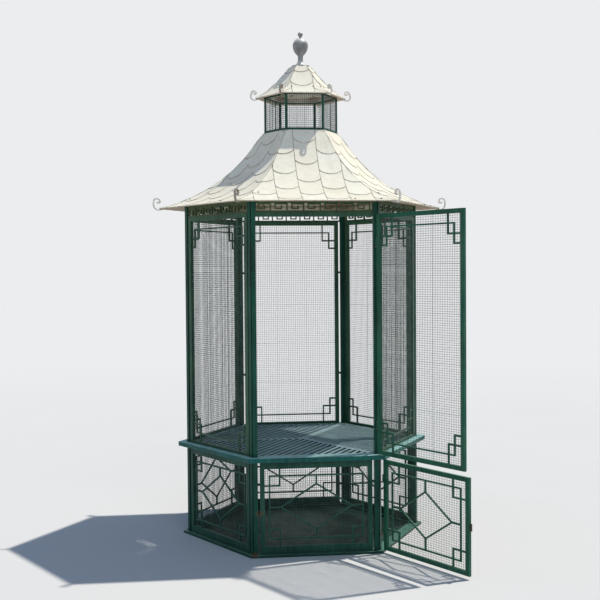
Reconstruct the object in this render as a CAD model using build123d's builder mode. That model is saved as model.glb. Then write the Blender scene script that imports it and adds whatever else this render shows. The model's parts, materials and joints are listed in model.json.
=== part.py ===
from build123d import *
import os
from math import atan2, cos, degrees, hypot, radians, sin, sqrt, tan

os.makedirs("parts", exist_ok=True)

# Plan: a hexagon with a corner on +X, faces named by the way they look, the front towards -Y
side = 720.0  # between the axes of two neighbouring corner posts, and so the corner radius too
half_sector = radians(30)
apothem = side * cos(half_sector)
corner_angles = {
    "right": 0, "back_right": 60, "back_left": 120, "left": 180, "front_left": 240, "front_right": 300,
}
face_angles = {
    "back_right": 30, "back": 90, "back_left": 150, "front_left": 210, "front": 270, "front_right": 330,
}
seat_gap = 0.3  # left between pieces that are bolted or set on each other
swing_gap = 5.5  # left between a door leaf and what it passes over or under

# Base: a sheet floor with a flat bar frame on it
floor_thickness = 3.0
base_thickness = 14.0
base_overhang = 35.0  # beyond the wall line
base_inset = 35.0  # inside the wall line
floor_setback = 2.0

# Corner posts: two flats that meet at 120 degrees, with a groove between them
post_leg = 22.0
post_depth = 25.0
post_groove_width = 8.0
post_groove_depth = 8.0

# Platform between the two cages
ledge_underside = 549.0
ledge_thickness = 25.0
ledge_overhang = 57.5
ledge_inset = 23.5
ledge_lip_width = 20.0  # carries the trays
ledge_lip_thickness = 4.0
tray_bar = 20.0
slat_width = 20.0
slat_spacing = 40.0
slat_thickness = 10.0

# Wall panels
panel_depth = 20.0
panel_slit = 12.0  # open between a fixed panel and the posts beside it
stile_width = 27.0
lug_height = 14.0  # lugs across the slits, which hold a fixed panel to its posts
lug_depth = 8.0
lug_sink = 2.0  # into the stile
lug_spread = 0.5  # between the lugs of a stile, as a share of the panel's height
fret_bar = 9.0
fret_depth = 8.0
lower_rail = 44.0
upper_bottom_rail = 16.0
upper_top_rail = 25.0
upper_panel_top = 1969.5

# The few wires of the fine mesh that hold the upper pattern together here, on every 16th and 21st line
mesh_pitch = 12.7
stay_wire = 2.0
stay_wire_columns = 2
stay_wire_column_spacing = 16 * mesh_pitch
stay_wire_rows = 4
stay_wire_row_spacing = 21 * mesh_pitch

# Pattern of the lower panels, each inset from the inner edge of the frame
border_inset_across = 41.0
border_inset_upright = 43.0
square_inset = 99.0
diamond_half_width = 206.0
diamond_half_height = 130.0

# Pattern of the upper panels
hook_inset = 50.0
hook_length = 157.0
box_inset_across = 96.0
box_inset_upright = 105.0

# Frieze with a Greek key
frieze_bottom_rail = 10.5
frieze_top_rail = 20.0
frieze_depth = 12.0
frieze_end = 4.0
key_height = 42.0
key_bar = 8.0
key_count = 7
key_width = 76.0
key_foot_gap = 7.0  # under the hook's lower bar
key_hook_reach = 44.0
key_hook_height = 28.0

# Roof: sheets with a straight steep head, and an arc from their knee to a flat eave
roof_ring_width = 25.0
roof_thickness = 3.0
eave_overhang = 145.5  # beyond the wall line
eave_drop = 16.0  # below the top of the friezes
roof_knee_reach = 272.0  # from the middle
roof_knee_rise = 363.0  # over the eave
roof_head_margin = 5.0  # beyond the lantern's outer face
roof_head_rise = 468.0

# Lantern
lantern_apothem = 196.0
lantern_leg = 8.0
lantern_depth = 8.0
lantern_rail = 8.0
lantern_wires = 3
lantern_wire_spacing = 4 * mesh_pitch
lantern_height = 218.0
curb_sink = 18.0  # below the head of the roof
curb_height = 25.0
curb_width = 14.0

# Cap over the lantern, in the roof's own form
cap_thickness = 3.0
cap_overhang = 50.5  # beyond the lantern's wall line
cap_eave_drop = 7.0  # below the top of the lantern's posts
cap_knee_reach = 105.0
cap_knee_rise = 130.0
cap_head_reach = 50.0
cap_head_rise = 202.5

# Finial, turned, from its foot on the cap to its tip
finial_foot_radius = 56.0  # covers the mouth of the cap
finial_foot_rim = 3.0
finial_foot_height = 45.0
finial_neck_radius = 15.0
finial_neck_height = 69.5
finial_ball_radius = 48.0
finial_ball_height = 108.0
finial_ball_belly = 60.0  # height of its widest point over the neck
finial_collar_radius = 8.0  # between the ball and the knob
finial_knob_radius = 16.0
finial_height = 216.5
finial_foot_steps = 4  # flats along each curve of the turning
finial_ball_steps = 4
finial_knob_steps = 4

# Scrolls at the corners of both roofs: a flat bar that turns up past the hip's tip, rises straight and curls
# back in two arcs, its points counted from the tip
scroll_bar_width = 11.0
scroll_bar_thickness = 7.0
scroll_foot = 40.0
scroll_far_side = Vector(38.0, 27.0)
scroll_neck = 20.0
scroll_near_side = Vector(-5.0, 47.0)
scroll_end = Vector(16.0, 45.0)
eave_scroll_size = 1.0
cap_scroll_size = 0.85

# Doors: both leaves lie outside the wall when closed and hang on the front right post
leaf_lap = 4.0  # over the post on either side of the doorway
leaf_depth = 16.0
leaf_wall_gap = 10.0
leaf_rail = 25.0
leaf_top_drop = 11.5  # below the top of the upper panels
upper_door_open = 120.7
lower_door_open = 120.3
hinge_reach = 10.0  # from the pin's axis to the leaf's edge
knuckle_radius = 6.0
knuckle_length = 40.0
knuckle_arm = 5.0
knuckle_arm_sink = 1.0  # into the leaf's stile
pin_radius = 3.5
pin_clearance = 0.1
pin_stand = 4.0  # above the knuckle
bracket_thickness = 6.0
upper_hinge_inset = 145.0
lower_hinge_inset = 90.0
latch_reach = 14.0
latch_height = 40.0
latch_thickness = 4.0

ledge_top = ledge_underside + ledge_thickness
bay_half_width = side / 2 - post_leg
panel_half_width = bay_half_width - panel_slit
key_foot = upper_panel_top + frieze_bottom_rail
frieze_top = key_foot + key_height + frieze_top_rail


def face_plane(angle, distance=apothem):
    """Upright plane of a face seen from outside, x to the right and y up from the ground."""
    a = radians(angle)
    return Plane(
        origin=(distance * cos(a), distance * sin(a), 0),
        x_dir=(-sin(a), cos(a), 0),
        z_dir=(cos(a), sin(a), 0),
    )


def hinge_plane(pin, direction):
    """Upright plane of a door leaf, x from its pin and y up from the ground."""
    a = radians(direction)
    return Plane(origin=(pin.X, pin.Y, 0), x_dir=(cos(a), sin(a), 0), z_dir=(sin(a), -cos(a), 0))


def hexagon(distance, mode=Mode.ADD):
    RegularPolygon(distance, 6, major_radius=False, mode=mode)


def hexagon_ring(outer, inner, low, high):
    with BuildPart() as ring:
        with BuildSketch(Plane.XY.offset(low)):
            hexagon(outer)
            hexagon(inner, mode=Mode.SUBTRACT)
        extrude(amount=high - low)
    return ring.part


def corner_section(radius, leg, depth):
    """Chevron round the corner on +X, with a leg along each of the faces that meet there."""
    tip = depth / 2 / cos(half_sector)
    end_x = radius - leg * sin(half_sector)
    end_y = leg * cos(half_sector)
    skew_x = depth / 2 * cos(half_sector)
    skew_y = depth / 2 * sin(half_sector)
    Polygon(
        (radius + tip, 0), (end_x + skew_x, end_y + skew_y), (end_x - skew_x, end_y - skew_y),
        (radius - tip, 0), (end_x - skew_x, skew_y - end_y), (end_x + skew_x, -end_y - skew_y),
        align=None,
    )


def finish(part, name):
    part.label = name
    export_step(part, f"parts/{name}.step")


# Base floor, whose underside is the face that the gazebo stands on
with BuildPart() as base_floor:
    with BuildSketch():
        hexagon(apothem + base_overhang - floor_setback)
    extrude(amount=floor_thickness)
finish(base_floor.part, "base_floor")

base_frame = hexagon_ring(apothem + base_overhang, apothem - base_inset, floor_thickness, base_thickness)
finish(base_frame, "base_frame")

# Corner post, from the base frame to the roof ring, made once and turned to each corner
with BuildPart() as post:
    with BuildSketch(Plane.XY.offset(base_thickness)):
        corner_section(side, post_leg, post_depth)
        with Locations((side + post_depth / 2 / cos(half_sector), 0)):
            Rectangle(2 * post_groove_depth, post_groove_width, mode=Mode.SUBTRACT)
    extrude(amount=frieze_top - base_thickness)
for place, angle in corner_angles.items():
    finish(Rot(Z=angle) * post.part, f"post_{place}")

# Platform ledge: a flat ring let in round the posts, with a lip that carries the trays
with BuildPart() as platform_ledge:
    with BuildSketch(Plane.XY.offset(ledge_underside)):
        hexagon(apothem + ledge_overhang)
        hexagon(apothem - ledge_inset - ledge_lip_width, mode=Mode.SUBTRACT)
        with PolarLocations(0, len(corner_angles)):
            with BuildSketch(mode=Mode.PRIVATE) as post_hole:
                corner_section(side, post_leg + seat_gap, post_depth + 2 * seat_gap)
            add(post_hole.sketch, mode=Mode.SUBTRACT)
    extrude(amount=ledge_thickness)
    with BuildSketch(Plane.XY.offset(ledge_underside + ledge_lip_thickness)):
        hexagon(apothem - ledge_inset)
    extrude(amount=ledge_thickness, mode=Mode.SUBTRACT)
finish(platform_ledge.part, "platform_ledge")

# Platform trays: three slatted rhombi that meet in the middle, their slats along the short diagonal
tray_radius = (apothem - ledge_inset) / cos(half_sector)
tray_angles = {"front": 240, "right": 0, "back": 120}
slats_each_side = int(tray_radius / slat_spacing)


def tray_outline(inset):
    with BuildSketch() as outline:
        Polygon(
            (0, 0),
            (tray_radius * cos(2 * half_sector), -tray_radius * sin(2 * half_sector)),
            (tray_radius, 0),
            (tray_radius * cos(2 * half_sector), tray_radius * sin(2 * half_sector)),
            align=None,
        )
        offset(amount=-inset)
    return outline.sketch


with BuildPart() as tray:
    with BuildSketch(Plane.XY.offset(ledge_underside + ledge_lip_thickness)):
        add(tray_outline(seat_gap))
        add(tray_outline(tray_bar), mode=Mode.SUBTRACT)
    extrude(amount=ledge_thickness - ledge_lip_thickness)
    with BuildSketch(Plane.XY.offset(ledge_top - slat_thickness)):
        with GridLocations(0, slat_spacing, 1, 2 * slats_each_side + 1):
            Rectangle(2 * side, slat_width)
        add(tray_outline(tray_bar / 2), mode=Mode.INTERSECT)
    extrude(amount=slat_thickness)
for place, angle in tray_angles.items():
    finish(Rot(Z=angle) * tray.part, f"platform_tray_{place}")


def bar(x0, y0, x1, y1, width=fret_bar):
    """Level or upright bar with its centre line between two points, square past both of them."""
    with Locations(((x0 + x1) / 2, (y0 + y1) / 2)):
        Rectangle(abs(x1 - x0) + width, abs(y1 - y0) + width)


def lower_pattern(half_width, low, high):
    """Border line interlaced with four corner squares, round a diamond on four stubs."""
    middle = (low + high) / 2
    half_height = (high - low) / 2
    border_x = half_width - border_inset_across
    border_y = half_height - border_inset_upright
    square_x = half_width - square_inset
    square_y = half_height - square_inset
    slope = degrees(atan2(diamond_half_height, diamond_half_width))
    for a in (1, -1):
        bar(-border_x, middle + a * border_y, border_x, middle + a * border_y)
        bar(a * border_x, middle - border_y, a * border_x, middle + border_y)
        bar(0, middle + a * diamond_half_height, 0, middle + a * border_y)
        bar(a * diamond_half_width, middle, a * border_x, middle)
        for b in (1, -1):
            bar(a * square_x, middle + b * square_y, a * square_x, middle + b * half_height)
            bar(a * square_x, middle + b * square_y, a * half_width, middle + b * square_y)
            edge_middle = (a * diamond_half_width / 2, middle + b * diamond_half_height / 2, 0)
            with Locations(Location(edge_middle, (0, 0, -a * b * slope))):
                Rectangle(hypot(diamond_half_width, diamond_half_height), fret_bar)


def upper_pattern(half_width, low, high):
    """Hook and box interlaced at each corner, the hooks joined across the panel."""
    hook_x = half_width - hook_inset
    box_x = half_width - box_inset_across
    for edge, b in ((low, 1), (high, -1)):
        hook_y = edge + b * hook_inset
        hook_end = edge + b * hook_length
        box_y = edge + b * box_inset_upright
        bar(-hook_x, hook_y, hook_x, hook_y)
        for a in (1, -1):
            bar(a * hook_x, hook_y, a * hook_x, hook_end)
            bar(a * hook_x, hook_end, a * half_width, hook_end)
            bar(a * box_x, edge, a * box_x, box_y)
            bar(a * box_x, box_y, a * half_width, box_y)


def stay_wires(half_width, low, high):
    """Upright and level wires, counted from the panel's middle."""
    with Locations((0, (low + high) / 2)):
        with GridLocations(stay_wire_column_spacing, 0, stay_wire_columns, 1):
            Rectangle(stay_wire, high - low + stay_wire)
        with GridLocations(0, stay_wire_row_spacing, 1, stay_wire_rows):
            Rectangle(2 * half_width + stay_wire, stay_wire)


def wall_panel(half_width, depth, low, high, rails, pattern, wires, slit=0.0):
    """Welded frame with its pattern, drawn flat: x across and y up.

    The rails are the heights of the lower and the upper one. A panel with a slit beside it has lugs across
    the slit, and its pattern is as wide as that of a panel without one, its ends let into the stiles.
    """
    inner_half = half_width - stile_width
    pattern_half = inner_half + slit
    inner_low = low + rails[0]
    inner_high = high - rails[1]
    with BuildPart() as panel:
        with BuildSketch():
            with Locations((0, (low + high) / 2)):
                Rectangle(2 * half_width, high - low)
            with Locations((0, (inner_low + inner_high) / 2)):
                Rectangle(2 * inner_half, inner_high - inner_low, mode=Mode.SUBTRACT)
        extrude(amount=depth / 2, both=True)
        with BuildSketch():
            pattern(pattern_half, inner_low, inner_high)
        extrude(amount=fret_depth / 2, both=True)
        if wires:
            with BuildSketch():
                stay_wires(inner_half, inner_low, inner_high)
            extrude(amount=stay_wire / 2, both=True)
        if slit:
            with BuildSketch():
                with Locations((0, (low + high) / 2)):
                    with GridLocations(2 * half_width + slit - lug_sink, lug_spread * (high - low), 2, 2):
                        Rectangle(slit + lug_sink, lug_height)
            extrude(amount=lug_depth / 2, both=True)
    return panel.part


# Fixed panels, one of each row made and set up on the faces: a door takes the place of one in each row
lower_panel = wall_panel(
    panel_half_width, panel_depth, base_thickness, ledge_underside,
    (lower_rail, lower_rail), lower_pattern, wires=False, slit=panel_slit,
)
upper_panel = wall_panel(
    panel_half_width, panel_depth, ledge_top, upper_panel_top,
    (upper_bottom_rail, upper_top_rail), upper_pattern, wires=True, slit=panel_slit,
)
for place, angle in face_angles.items():
    if place != "front_right":
        finish(face_plane(angle).location * lower_panel, f"lower_panel_{place}")
    if place != "front":
        finish(face_plane(angle).location * upper_panel, f"upper_panel_{place}")

# Lintel over the upper doorway
with BuildPart() as front_lintel:
    with BuildSketch(face_plane(face_angles["front"])):
        with Locations((0, upper_panel_top - upper_top_rail / 2)):
            Rectangle(2 * bay_half_width, upper_top_rail)
    extrude(amount=panel_depth / 2, both=True)
finish(front_lintel.part, "front_lintel")


def key_motif(x0, y0):
    """One Greek key: up on the right, back along the top, down on the left and hooked inwards."""
    half = key_bar / 2
    left = x0 + half
    right = x0 + key_width - half
    top = y0 + key_height - half
    foot = y0 + key_foot_gap + half
    hook_x = x0 + key_hook_reach - half
    bar(right, y0 + half, right, top, key_bar)
    bar(left, top, right, top, key_bar)
    bar(left, foot, left, top, key_bar)
    bar(left, foot, hook_x, foot, key_bar)
    bar(hook_x, foot, hook_x, y0 + key_hook_height - half, key_bar)


# Frieze with the Greek key, drawn flat and set up on each face
key_run = 2 * (bay_half_width - frieze_end)
key_pitch = key_run / key_count
with BuildPart() as frieze:
    with BuildSketch():
        with Locations((0, (upper_panel_top + frieze_top) / 2)):
            Rectangle(2 * bay_half_width, frieze_top - upper_panel_top)
        with Locations((0, key_foot + key_height / 2)):
            Rectangle(key_run, key_height, mode=Mode.SUBTRACT)
        for motif in range(key_count):
            key_motif(-key_run / 2 + key_pitch * motif + (key_pitch - key_width) / 2, key_foot)
    extrude(amount=frieze_depth / 2, both=True)
for place, angle in face_angles.items():
    finish(face_plane(angle).location * frieze.part, f"frieze_{place}")


def arc_centre(knee, eave, head):
    """Centre and radius of the arc that leaves the straight head at the knee and ends at the eave."""
    along = (knee - head).normalized()
    inwards = Vector(-along.Y, along.X)
    chord = eave - knee
    radius = chord.length ** 2 / (2 * chord.dot(inwards))
    return knee + inwards * radius, radius


def underside_height(head, knee, eave, thickness, distance):
    """Height of the sheet's underside on its curved part, at a distance out."""
    centre, radius = arc_centre(knee, eave, head)
    return centre.Y - sqrt((radius + thickness) ** 2 - (distance - centre.X) ** 2)


def roof_sheet(head, knee, eave, thickness):
    """The face towards +X of a concave roof, mitred at both hips, its points given as reach and height."""
    centre, radius = arc_centre(knee, eave, head)
    along = (knee - head).normalized()
    inner_shift = Vector(along.Y, -along.X) * thickness
    inner_eave = eave + (eave - centre) * (thickness / radius)
    near = seat_gap / 2 / sin(half_sector)  # half the gap at a hip
    far = 2 * eave.X
    half_width = (far - near) * tan(half_sector)
    with BuildPart() as sheet:
        with BuildSketch(Plane.XZ):
            with BuildLine():
                Line(head, knee)
                TangentArc(knee, eave, tangent=along)
                Line(eave, inner_eave)
                TangentArc(knee + inner_shift, inner_eave, tangent=along)
                Line(knee + inner_shift, head + inner_shift)
                Line(head + inner_shift, head)
            make_face()
        extrude(amount=half_width, both=True)
        with BuildSketch():
            Polygon((near, 0), (far, half_width), (far, -half_width), align=None)
        extrude(amount=head.Y + thickness, mode=Mode.INTERSECT)
    return sheet.part


# Roof sheets
roof_eave = Vector(apothem + eave_overhang, frieze_top - eave_drop)
roof_knee = Vector(roof_knee_reach, roof_eave.Y + roof_knee_rise)
roof_head = Vector(lantern_apothem + lantern_depth / 2 + roof_head_margin, roof_eave.Y + roof_head_rise)
roof_panel = roof_sheet(roof_head, roof_knee, roof_eave, roof_thickness)
for place, angle in face_angles.items():
    finish(Rot(Z=angle) * roof_panel, f"roof_panel_{place}")

# Roof ring on the posts and friezes, up to the underside of the sheets
ring_outer = apothem + roof_ring_width / 2
ring_top = underside_height(roof_head, roof_knee, roof_eave, roof_thickness, ring_outer) - seat_gap
finish(hexagon_ring(ring_outer, ring_outer - roof_ring_width, frieze_top, ring_top), "roof_ring")

# Lantern: a curb in the mouth of the roof, six thin posts, a grille in each face and a head ring
curb_outer = roof_head.X - roof_thickness
curb_underside = roof_head.Y - curb_sink
curb_top = curb_underside + curb_height
finish(hexagon_ring(curb_outer, curb_outer - curb_width, curb_underside, curb_top), "lantern_curb")

lantern_radius = lantern_apothem / cos(half_sector)
with BuildPart() as lantern_post:
    with BuildSketch(Plane.XY.offset(curb_top)):
        corner_section(lantern_radius, lantern_leg, lantern_depth)
    extrude(amount=lantern_height)
with BuildPart() as lantern_posts:
    with PolarLocations(0, len(corner_angles)):
        add(lantern_post.part)
finish(lantern_posts.part, "lantern_posts")

grille_half_width = lantern_radius / 2 - lantern_leg
with BuildPart() as grille:
    with BuildSketch():
        with Locations((0, curb_top + lantern_height / 2)):
            Rectangle(2 * grille_half_width, lantern_height)
            Rectangle(2 * grille_half_width, lantern_height - 2 * lantern_rail, mode=Mode.SUBTRACT)
    extrude(amount=lantern_depth / 2, both=True)
    with BuildSketch():
        with Locations((0, curb_top + lantern_height / 2)):
            with GridLocations(lantern_wire_spacing, 0, lantern_wires, 1):
                Rectangle(stay_wire, lantern_height - lantern_rail)
    extrude(amount=stay_wire / 2, both=True)
with BuildPart() as lantern_grilles:
    with Locations([face_plane(angle, lantern_apothem).location for angle in face_angles.values()]):
        add(grille.part)
finish(lantern_grilles.part, "lantern_grilles")

# Cap: six sheets that meet at the hips, on the lantern's head ring
head_underside = curb_top + lantern_height
cap_eave = Vector(lantern_apothem + cap_overhang, head_underside - cap_eave_drop)
cap_knee = Vector(cap_knee_reach, cap_eave.Y + cap_knee_rise)
cap_head = Vector(cap_head_reach, cap_eave.Y + cap_head_rise)
cap_sheet = roof_sheet(cap_head, cap_knee, cap_eave, cap_thickness)
with BuildPart() as cap_roof:
    with PolarLocations(0, len(face_angles), start_angle=degrees(half_sector)):
        add(cap_sheet)
finish(cap_roof.part, "cap_roof")

head_outer = lantern_apothem + lantern_depth / 2
head_top = underside_height(cap_head, cap_knee, cap_eave, cap_thickness, head_outer) - seat_gap
finish(hexagon_ring(head_outer, head_outer - lantern_depth, head_underside, head_top), "lantern_head")


def flats(arc, steps):
    """Short straight steps along a curve of the turning."""
    Polyline(*[arc @ (step / steps) for step in range(steps + 1)])


# Finial: flared foot, neck, egg-shaped ball and knob in one turning
rim_level = cap_head.Y + finial_foot_rim
neck_level = cap_head.Y + finial_foot_height
ball_level = cap_head.Y + finial_neck_height
belly_level = ball_level + finial_ball_belly
crown_level = ball_level + finial_ball_height
tip_level = cap_head.Y + finial_height
knob_level = tip_level - finial_knob_radius
collar_level = knob_level - sqrt(finial_knob_radius ** 2 - finial_collar_radius ** 2)
neck_foot = (finial_neck_radius, neck_level)
neck_head = (finial_neck_radius, ball_level)
belly = (finial_ball_radius, belly_level)
crown = (finial_collar_radius, crown_level)
foot_curve = TangentArc(neck_foot, (finial_foot_radius, rim_level), tangent=(0, -1))
belly_curve = TangentArc(belly, neck_head, tangent=(0, -1))
crown_curve = TangentArc(belly, crown, tangent=(0, 1))
knob_curve = ThreePointArc(
    (finial_collar_radius, collar_level), (finial_knob_radius, knob_level), (0, tip_level)
)
with BuildPart() as finial:
    with BuildSketch(Plane.XZ):
        with BuildLine():
            Line((0, cap_head.Y), (finial_foot_radius, cap_head.Y))
            Line((finial_foot_radius, cap_head.Y), (finial_foot_radius, rim_level))
            flats(foot_curve, finial_foot_steps)
            Line(neck_foot, neck_head)
            flats(belly_curve, finial_ball_steps)
            flats(crown_curve, finial_ball_steps)
            Line(crown, (finial_collar_radius, collar_level))
            flats(knob_curve, finial_knob_steps)
            Line((0, tip_level), (0, cap_head.Y))
        make_face()
    revolve(axis=Axis.Z)
finish(finial.part, "finial")


def hip_tip(head, knee, eave, thickness):
    """Underside of the hip over +X at its eave, as distance out and height, and its slope there."""
    centre, radius = arc_centre(knee, eave, head)
    inner_eave = eave + (eave - centre) * (thickness / radius)
    face_slope = atan2(centre.X - eave.X, centre.Y - eave.Y)
    hip_slope = atan2(tan(face_slope) * cos(half_sector), 1)
    return Vector(inner_eave.X / cos(half_sector), inner_eave.Y), hip_slope


def scroll(tip, slope, size):
    """Curled bar in the plane of the hip over +X, its foot under the sheet and its curl past the corner."""
    down = Vector(cos(slope), -sin(slope))
    below = Vector(-sin(slope), -cos(slope))
    hollow = scroll_bar_width / 2 * sin(half_sector) * tan(slope)  # the sheets fall away beside the hip
    start = tip + below * (scroll_bar_thickness / 2 + seat_gap + hollow)
    with BuildPart() as curl:
        with BuildSketch(Plane.XZ):
            with BuildLine() as path:
                foot_line = Line(start - down * scroll_foot * size, start)
                rise = TangentArc(start, tip + scroll_far_side * size, tangent=foot_line % 1)
                neck = Line(rise @ 1, rise @ 1 + (rise % 1) * scroll_neck * size)
                over = TangentArc(neck @ 1, tip + scroll_near_side * size, tangent=neck % 1)
                TangentArc(over @ 1, tip + scroll_end * size, tangent=over % 1)
            trace(path.edges(), line_width=scroll_bar_thickness)
        extrude(amount=scroll_bar_width / 2, both=True)
    return curl.part


# Scrolls, one made for each roof and turned to its six corners
eave_scroll = scroll(*hip_tip(roof_head, roof_knee, roof_eave, roof_thickness), eave_scroll_size)
with BuildPart() as eave_scrolls:
    with PolarLocations(0, len(corner_angles)):
        add(eave_scroll)
finish(eave_scrolls.part, "eave_scrolls")

cap_scroll = scroll(*hip_tip(cap_head, cap_knee, cap_eave, cap_thickness), cap_scroll_size)
with BuildPart() as cap_scrolls:
    with PolarLocations(0, len(corner_angles)):
        add(cap_scroll)
finish(cap_scrolls.part, "cap_scrolls")

# Doors, made as they stand open; a turn is counted from the closed leaf's direction
leaf_half_width = bay_half_width + leaf_lap
leaf_apothem = apothem + post_depth / 2 + leaf_wall_gap + leaf_depth / 2
hinge_offset = leaf_half_width + hinge_reach  # from the middle of the face to the pin
upper_pin = face_plane(face_angles["front"], leaf_apothem).from_local_coords((hinge_offset, 0, 0))
lower_pin = face_plane(face_angles["front_right"], leaf_apothem).from_local_coords((-hinge_offset, 0, 0))
upper_leaf_plane = hinge_plane(upper_pin, face_angles["front"] - 90 + upper_door_open)
lower_leaf_plane = hinge_plane(lower_pin, face_angles["front_right"] + 90 - lower_door_open)
upper_leaf_low = ledge_top + swing_gap
upper_leaf_top = upper_panel_top - leaf_top_drop
lower_leaf_low = base_thickness + swing_gap
lower_leaf_top = ledge_underside - swing_gap


def knuckle_levels(low, high, inset):
    """Height of the underside of both knuckles."""
    return low + inset, high - inset - knuckle_length


def door_leaf(low, high, inset, pattern, wires):
    """Panel with two knuckles, drawn flat: x from the pin's axis, y up."""
    with BuildPart() as leaf:
        with Locations((hinge_reach + leaf_half_width, 0)):
            add(wall_panel(leaf_half_width, leaf_depth, low, high, (leaf_rail, leaf_rail), pattern, wires))
        for level in knuckle_levels(low, high, inset):
            with BuildSketch(Plane(origin=(0, level, 0), x_dir=(1, 0, 0), z_dir=(0, 1, 0))):
                Circle(knuckle_radius)
                Rectangle(hinge_reach + knuckle_arm_sink, knuckle_arm, align=(Align.MIN, Align.CENTER))
                Circle(pin_radius + pin_clearance, mode=Mode.SUBTRACT)
            extrude(amount=knuckle_length)
    return leaf.part


upper_leaf = door_leaf(upper_leaf_low, upper_leaf_top, upper_hinge_inset, upper_pattern, wires=True)
finish(upper_leaf_plane.location * upper_leaf, "upper_door")
lower_leaf = door_leaf(lower_leaf_low, lower_leaf_top, lower_hinge_inset, lower_pattern, wires=False)
finish(lower_leaf_plane.location * lower_leaf, "lower_door")

# Pintles: a bracket on the post under each knuckle, with a pin up through it
with BuildPart() as door_pintles:
    for pin, face, low, high, inset in (
        (upper_pin, "front", upper_leaf_low, upper_leaf_top, upper_hinge_inset),
        (lower_pin, "front_right", lower_leaf_low, lower_leaf_top, lower_hinge_inset),
    ):
        inwards = radians(face_angles[face] + 180)
        for level in knuckle_levels(low, high, inset):
            bracket_top = Plane(
                origin=(pin.X, pin.Y, level - seat_gap), x_dir=(cos(inwards), sin(inwards), 0)
            )
            with BuildSketch(bracket_top):
                Circle(knuckle_radius)
                Rectangle(
                    leaf_depth / 2 + leaf_wall_gap, 2 * knuckle_radius, align=(Align.MIN, Align.CENTER)
                )
            extrude(amount=-bracket_thickness)
            with BuildSketch(bracket_top):
                Circle(pin_radius)
            extrude(amount=knuckle_length + seat_gap + pin_stand)
finish(door_pintles.part, "door_pintles")

# Latch: a tab on the free stile of the lower door
with BuildPart() as lower_door_latch:
    with BuildSketch(lower_leaf_plane):
        with Locations((hinge_reach + 2 * leaf_half_width, (lower_leaf_low + lower_leaf_top) / 2)):
            Rectangle(latch_reach, latch_height, align=(Align.MIN, Align.CENTER))
    extrude(amount=latch_thickness / 2, both=True)
finish(lower_door_latch.part, "lower_door_latch")
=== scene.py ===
"""Looks of the metal garden gazebo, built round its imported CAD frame. Lengths are in metres."""

import json
import math
import random

import bpy
from mathutils import Matrix, Vector


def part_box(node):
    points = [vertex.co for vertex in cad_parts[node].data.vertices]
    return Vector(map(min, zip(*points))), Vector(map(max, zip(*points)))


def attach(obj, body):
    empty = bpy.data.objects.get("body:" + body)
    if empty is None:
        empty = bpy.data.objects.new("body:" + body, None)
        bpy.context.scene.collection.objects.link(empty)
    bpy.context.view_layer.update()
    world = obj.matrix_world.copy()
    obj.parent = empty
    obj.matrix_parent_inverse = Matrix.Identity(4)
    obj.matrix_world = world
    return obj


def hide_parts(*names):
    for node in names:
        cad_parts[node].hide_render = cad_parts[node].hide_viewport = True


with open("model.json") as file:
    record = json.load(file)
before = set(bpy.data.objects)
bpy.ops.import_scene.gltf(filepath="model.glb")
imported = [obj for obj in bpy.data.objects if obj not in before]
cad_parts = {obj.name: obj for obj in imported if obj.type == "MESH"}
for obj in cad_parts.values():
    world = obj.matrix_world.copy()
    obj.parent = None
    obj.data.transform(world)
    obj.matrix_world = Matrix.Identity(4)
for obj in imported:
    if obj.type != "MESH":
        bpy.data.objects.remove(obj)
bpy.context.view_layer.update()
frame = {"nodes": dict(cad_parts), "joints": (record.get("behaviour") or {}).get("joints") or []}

# Plan, as in the CAD: faces named by the way they look, the front towards -Y
HALF_SECTOR = math.radians(30)
FACE_ANGLES = {
    "back_right": 30, "back": 90, "back_left": 150, "front_left": 210, "front": 270, "front_right": 330,
}
CORNER_ANGLES = range(0, 360, 60)
FIXED_LOWER = ("back_right", "back", "back_left", "front_left", "front")
FIXED_UPPER = ("back_right", "back", "back_left", "front_left", "front_right")
FRAME_BODY = "gazebo_frame"
LANTERN_DEPTH = 0.008
upper_low, upper_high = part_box("upper_panel_back")
lower_low, lower_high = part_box("lower_panel_back")
wall_apothem = (upper_low.y + upper_high.y) / 2
half_side = wall_apothem * math.tan(HALF_SECTOR)
frieze_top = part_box("frieze_back")[1].z
lantern_low, lantern_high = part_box("lantern_posts")
lantern_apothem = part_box("lantern_grilles")[1].y - LANTERN_DEPTH / 2

# Wire mesh in the wall panels, the doors and the lantern
MESH_PITCH = 0.0127
MESH_WIRE = 0.0017
MESH_TUCK = 0.004  # of each wire's end into the frame
UPRIGHT_LEAN = 0.0006  # at most, one end of a wire to this side and the other end to that
LEVEL_LEAN = 0.0009
STILE = 0.027
PANEL_SLIT = 0.012  # between a fixed panel and its posts, bridged by the panel's lugs
LOWER_RAIL = 0.044
UPPER_BOTTOM_RAIL = 0.016
UPPER_TOP_RAIL = 0.025
LEAF_RAIL = 0.025
LANTERN_RAIL = 0.008
LANTERN_LEG = 0.008

# Doors as they stand at rest: the way that each leaf points from its pin
HINGE_REACH = 0.010  # from the pin's axis to the leaf's edge
LEAF_WIDTH = 0.684
UPPER_LEAF_DIRECTION = math.radians(300.7)
LOWER_LEAF_DIRECTION = math.radians(299.7)

# Outer lines of both roofs, given by reach from the axis and by rise over the eave
SHEET_THICKNESS = 0.003
ROOF_OVERHANG = 0.1455
ROOF_EAVE_DROP = 0.016  # below the top of the friezes
ROOF_KNEE_REACH = 0.272
ROOF_KNEE_RISE = 0.363
ROOF_HEAD_MARGIN = 0.005  # beyond the lantern's outer face
ROOF_HEAD_RISE = 0.468
CAP_OVERHANG = 0.0505
CAP_EAVE_DROP = 0.007  # below the top of the lantern's posts
CAP_KNEE_REACH = 0.105
CAP_KNEE_RISE = 0.130
CAP_HEAD_REACH = 0.050
CAP_HEAD_RISE = 0.2025

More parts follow.
